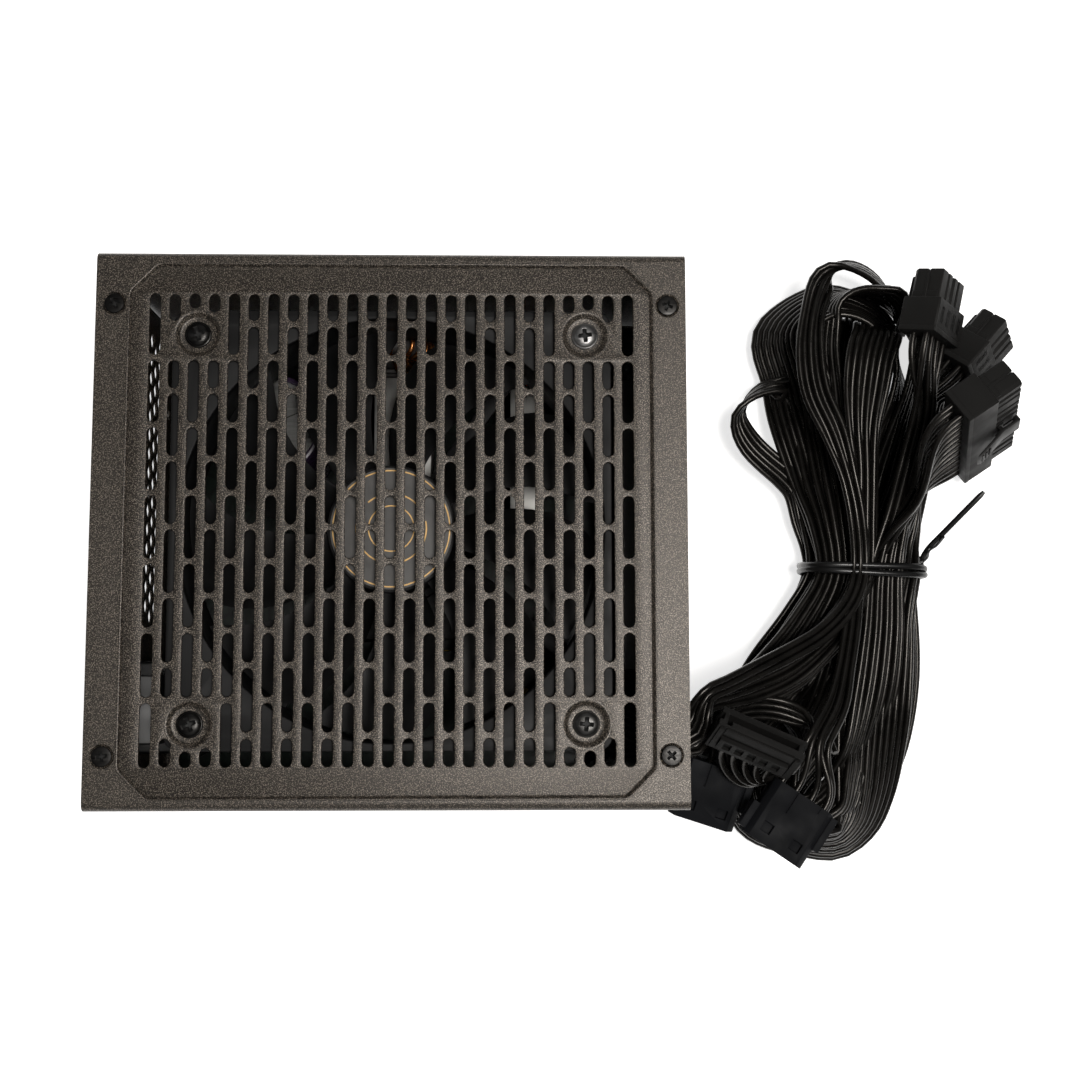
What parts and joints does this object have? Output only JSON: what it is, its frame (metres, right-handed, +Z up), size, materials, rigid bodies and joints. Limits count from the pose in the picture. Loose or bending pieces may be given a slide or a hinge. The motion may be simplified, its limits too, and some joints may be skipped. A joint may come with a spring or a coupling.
{
  "type": "computer power supply unit",
  "caption": "Boxed computer power supply with a slotted fan grille, mains inlet and rocker switch, and a tied bundle of flat ribbon cables ending in plugs.",
  "frame": {"origin": "centre of the casing's underside, on the surface it stands on", "axes": "+X from the mains panel to the cable panel, +Y across the 150 mm width, +Z up through the fan grille"},
  "size_m": [0.2808, 0.1894, 0.0864],
  "materials": {
    "case_coat": "fine textured powder coat, warm dark grey",
    "bright_screw": "bright zinc",
    "black_screw": "black oxide, semi-gloss",
    "fan_plastic": "satin moulded",
    "hub_label": "matt grey film with thin gold rings",
    "copper_winding": "lacquered copper wire",
    "bearing_bronze": "sintered bronze",
    "magnet": "dark magnet compound",
    "circuit_board": "solder mask",
    "insulation": "thin film",
    "capacitor_sleeve": "shrink sleeve",
    "ferrite": "matt ferrite",
    "winding_tape": "polyester tape",
    "film_capacitor": "moulded box",
    "heatsink": "extruded",
    "panel_plastic": "moulded",
    "rocker_plastic": "moulded",
    "cable_pvc": "flat ribbon wire, satin",
    "tie_pvc": "plastic-coated wire",
    "connector_nylon": "moulded nylon"
  },
  "bodies": {
    "case": {"base_tray": "case_coat", "mains_panel": "case_coat", "cable_panel": "case_coat", "top_cover": "case_coat", "cover_screw_1": "black_screw", "cover_screw_2": "black_screw", "cover_screw_3": "black_screw", "cover_screw_4": "black_screw", "fan_screw_1": "black_screw", "fan_screw_2": "bright_screw", "fan_screw_3": "black_screw", "fan_screw_4": "black_screw", "fan_frame": "fan_plastic", "fan_stator": "copper_winding", "fan_bearing": "bearing_bronze", "fan_lead": "cable_pvc", "main_pcb": "circuit_board", "insulating_sheet": "insulation", "pcb_screw_1": "bright_screw", "pcb_screw_2": "bright_screw", "pcb_screw_3": "bright_screw", "pcb_screw_4": "bright_screw", "bulk_capacitor": "capacitor_sleeve", "output_capacitor": "capacitor_sleeve", "transformer_core": "ferrite", "transformer_winding": "winding_tape", "standby_transformer": "winding_tape", "pfc_choke": "copper_winding", "output_inductor": "copper_winding", "emi_choke": "copper_winding", "x_capacitor": "film_capacitor", "primary_heatsink": "heatsink", "secondary_heatsink": "heatsink", "rectifier_heatsink": "heatsink", "ac_inlet": "panel_plastic", "ac_pin_live": "bright_screw", "ac_pin_neutral": "bright_screw", "ac_pin_earth": "bright_screw", "switch_housing": "panel_plastic", "cable_grommet": "panel_plastic", "cable_lead": "cable_pvc", "cable_hank_lower": "cable_pvc", "cable_hank_upper": "cable_pvc", "cable_waist": "cable_pvc", "twist_tie": "tie_pvc", "atx24_connector": "connector_nylon", "cpu_connector": "connector_nylon", "pcie_connector": "connector_nylon", "sata_connector_1": "connector_nylon", "sata_connector_2": "connector_nylon", "molex_connector_1": "connector_nylon", "molex_connector_2": "connector_nylon"},
    "fan": {"fan_rotor": "fan_plastic", "fan_hub_label": "hub_label", "fan_magnet_ring": "magnet", "fan_shaft": "bright_screw"},
    "rocker": {"switch_rocker": "rocker_plastic"},
    "atx24_latch": {"atx24_latch": "connector_nylon"},
    "cpu_latch": {"cpu_latch": "connector_nylon"},
    "pcie_latch": {"pcie_latch": "connector_nylon"}
  },
  "joints": [
    {"name": "fan_spin", "type": "hinge", "parent": "case", "child": "fan", "pos_m": [0, 0, 0.07], "axis": [0, 0, 1], "continuous": true},
    {"name": "power_switch", "type": "hinge", "parent": "case", "child": "rocker", "pos_m": [-0.079, -0.049, 0.062], "axis": [0, 0, 1], "range_deg": [0, 20]},
    {"name": "atx24_latch_press", "type": "hinge", "parent": "case", "child": "atx24_latch", "pos_m": [0.18464, 0.03569, 0.03165], "axis": [0.2693, -0.2233, -0.9368], "range_deg": [0, 8], "stiffness_Nm_per_rad": 0.05},
    {"name": "cpu_latch_press", "type": "hinge", "parent": "case", "child": "cpu_latch", "pos_m": [0.15869, 0.07624, 0.03615], "axis": [-0.6209, 0.1082, 0.7764], "range_deg": [0, 8], "stiffness_Nm_per_rad": 0.05},
    {"name": "pcie_latch_press", "type": "hinge", "parent": "case", "child": "pcie_latch", "pos_m": [0.17838, 0.06797, 0.0232], "axis": [-0.437, 0.3287, 0.8373], "range_deg": [0, 8], "stiffness_Nm_per_rad": 0.05}
  ]
}
